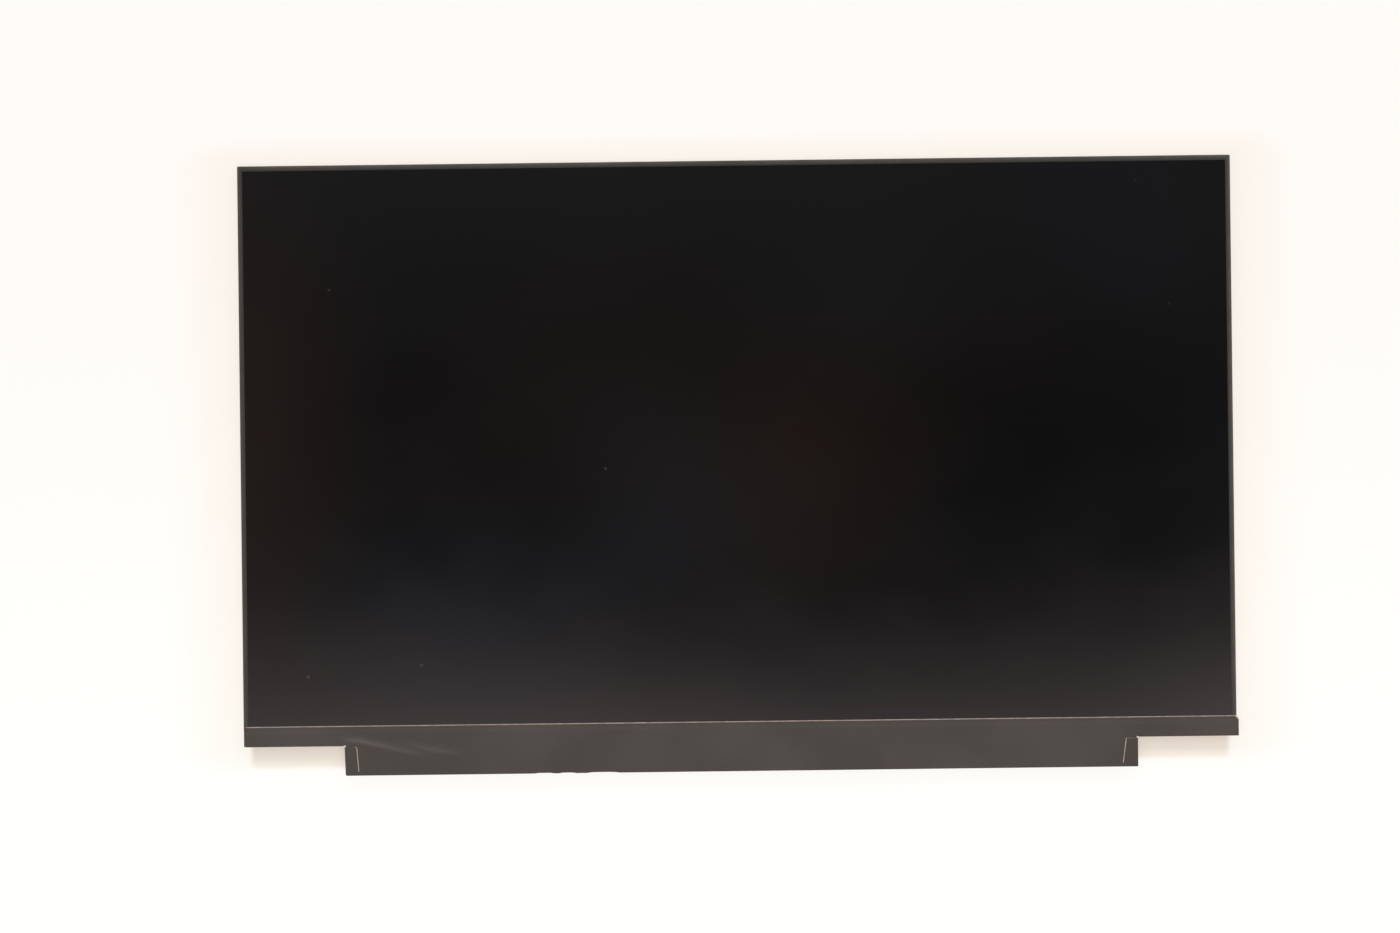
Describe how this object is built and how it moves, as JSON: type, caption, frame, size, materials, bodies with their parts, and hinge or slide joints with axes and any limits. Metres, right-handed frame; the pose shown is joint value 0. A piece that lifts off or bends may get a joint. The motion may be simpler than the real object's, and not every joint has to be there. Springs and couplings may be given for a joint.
{
  "type": "laptop screen panel",
  "caption": "Bare flat laptop display module with a dark matte face, thin taped borders and a taped circuit board strip standing out past its lower edge.",
  "frame": {"origin": "centre of the body's outline, without the board strip, on the raised middle of the rear plate that the panel rests on", "axes": "+X along the long side to the right as seen from the front, +Y towards the picture's top edge, +Z out of the picture"},
  "size_m": [0.3514, 0.2157, 0.0026],
  "materials": {
    "anti_glare_film": "anti-glare front polarizer with a fine haze, almost black when off",
    "cell_glass": "thin display glass with ground edges",
    "rear_film": "grey rear polarizer film",
    "black_adhesive": "black bonding tape",
    "frame_plastic": "moulded black polycarbonate",
    "diffuser_film": "milky diffuser film",
    "prism_film": "clear film with fine prism ridges",
    "clear_plastic": "clear light guide with printed dots on its rear face",
    "white_film": "white voided reflector film",
    "flex_film": "amber polyimide film with copper tracks",
    "diode_resin": "white diode bodies with yellow phosphor windows",
    "grey_adhesive": "grey heat-conducting tape",
    "plate_steel": "thin rolled steel sheet, lightly brushed",
    "black_tape": "semi-matte black polyester tape",
    "pale_adhesive": "pale layer of adhesive under the tape",
    "translucent_film": "translucent polyester insulating film",
    "board_laminate": "green solder resist over glass-fibre laminate",
    "bare_chip": "bare silicon driver chip with a dark underfill",
    "chip_resin": "black moulding resin with tinned leads",
    "ferrite": "grey pressed ferrite",
    "fuse_ceramic": "white ceramic chip with tinned ends",
    "capacitor_ceramic": "tan ceramic chips with tinned ends",
    "resistor_ceramic": "black glazed chips with tinned ends",
    "connector_plastic": "cream liquid crystal polymer",
    "gold_plate": "gold-plated copper alloy contacts",
    "tinned_shell": "tin-plated copper alloy shell"
  },
  "bodies": {
    "root": {"front_polarizer": "anti_glare_film", "colour_filter_glass": "cell_glass", "array_glass": "cell_glass", "rear_polarizer": "rear_film", "cell_tape": "black_adhesive", "mould_frame": "frame_plastic", "upper_diffuser": "diffuser_film", "upper_prism_sheet": "prism_film", "lower_prism_sheet": "prism_film", "lower_diffuser": "diffuser_film", "light_guide": "clear_plastic", "reflector_sheet": "white_film", "light_bar_film": "flex_film", "light_bar_leds": "diode_resin", "light_bar_tape": "grey_adhesive", "rear_plate": "plate_steel", "left_edge_tape": "black_tape", "top_edge_tape": "black_tape", "right_edge_tape": "black_tape", "cover_tape_film": "black_tape", "cover_tape_adhesive": "pale_adhesive", "board_film": "translucent_film", "circuit_board": "board_laminate", "source_film_1": "flex_film", "source_film_2": "flex_film", "source_film_3": "flex_film", "source_film_4": "flex_film", "driver_chip_1": "bare_chip", "driver_chip_2": "bare_chip", "driver_chip_3": "bare_chip", "driver_chip_4": "bare_chip", "timing_controller": "chip_resin", "power_chip": "chip_resin", "backlight_driver": "chip_resin", "level_shifter": "chip_resin", "settings_memory": "chip_resin", "boost_coil": "ferrite", "logic_coil": "ferrite", "boost_diode": "chip_resin", "input_fuse": "fuse_ceramic", "chip_capacitors": "capacitor_ceramic", "chip_resistors": "resistor_ceramic", "connector_insulator": "connector_plastic", "connector_contacts": "gold_plate", "connector_shell": "tinned_shell"}
  },
  "joints": []
}
